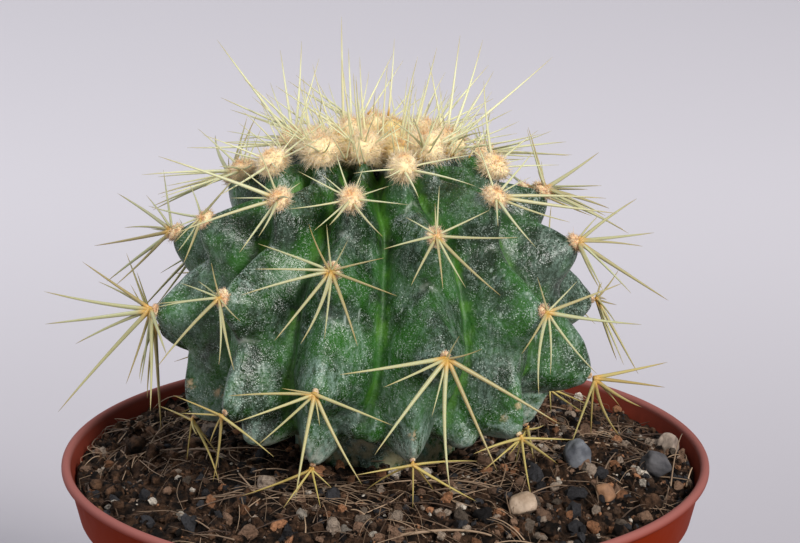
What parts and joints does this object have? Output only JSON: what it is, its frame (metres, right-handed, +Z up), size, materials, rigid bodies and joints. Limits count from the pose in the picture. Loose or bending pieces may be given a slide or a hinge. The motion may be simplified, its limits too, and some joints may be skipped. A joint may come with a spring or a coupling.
{
  "type": "potted barrel cactus",
  "caption": "Young barrel cactus with ribs of tubercles, woolly areoles and pale yellow spines, in a filled terracotta-coloured plastic nursery pot.",
  "frame": {"origin": "middle of the pot's flat foot, at the level of the surface it stands on", "axes": "+Z up along the pot's axis, -Y towards the side that the picture shows, +X to the right there"},
  "size_m": [0.0862, 0.085, 0.1248],
  "materials": {
    "pot_plastic": "thin red-brown plastic, faint satin sheen, lighter along the lip",
    "potting_soil": "dark crumbly peat with fibres and grit",
    "skin": "deep green waxy skin with a grey bloom, brighter in the furrows",
    "spines": "pale straw-yellow, golden at the root, with peach felt at the areole",
    "wool": "cream to peach felt with pale yellow spines",
    "grey_stone": "matte grey stone",
    "pale_stone": "matte tan stone"
  },
  "bodies": {
    "root": {"areole_10_1": "spines", "areole_10_2": "spines", "areole_10_3": "spines", "areole_10_4": "spines", "areole_11_2": "spines", "areole_11_3": "spines", "areole_11_4": "spines", "areole_11_5": "spines", "areole_12_1": "spines", "areole_12_2": "spines", "areole_12_3": "spines", "areole_12_4": "spines", "areole_13_1": "spines", "areole_13_2": "spines", "areole_13_3": "spines", "areole_13_4": "spines", "areole_1_2": "spines", "areole_1_3": "spines", "areole_1_4": "spines", "areole_1_5": "spines", "areole_2_1": "spines", "areole_2_2": "spines", "areole_2_3": "spines", "areole_2_4": "spines", "areole_3_2": "spines", "areole_3_3": "spines", "areole_3_4": "spines", "areole_4_1": "spines", "areole_4_2": "spines", "areole_4_3": "spines", "areole_4_4": "spines", "areole_5_2": "spines", "areole_5_3": "spines", "areole_5_4": "spines", "areole_6_2": "spines", "areole_6_3": "spines", "areole_6_4": "spines", "areole_6_5": "spines", "areole_7_1": "spines", "areole_7_2": "spines", "areole_7_3": "spines", "areole_7_4": "spines", "areole_8_2": "spines", "areole_8_3": "spines", "areole_8_4": "spines", "areole_8_5": "spines", "areole_9_2": "spines", "areole_9_3": "spines", "areole_9_4": "spines", "areole_9_5": "spines", "body": "skin", "crown": "wool", "pebble_blue": "grey_stone", "pebble_dark": "grey_stone", "pebble_orange": "pale_stone", "pebble_split": "pale_stone", "pebble_tan": "pale_stone", "pot": "pot_plastic", "soil": "potting_soil"}
  },
  "joints": []
}
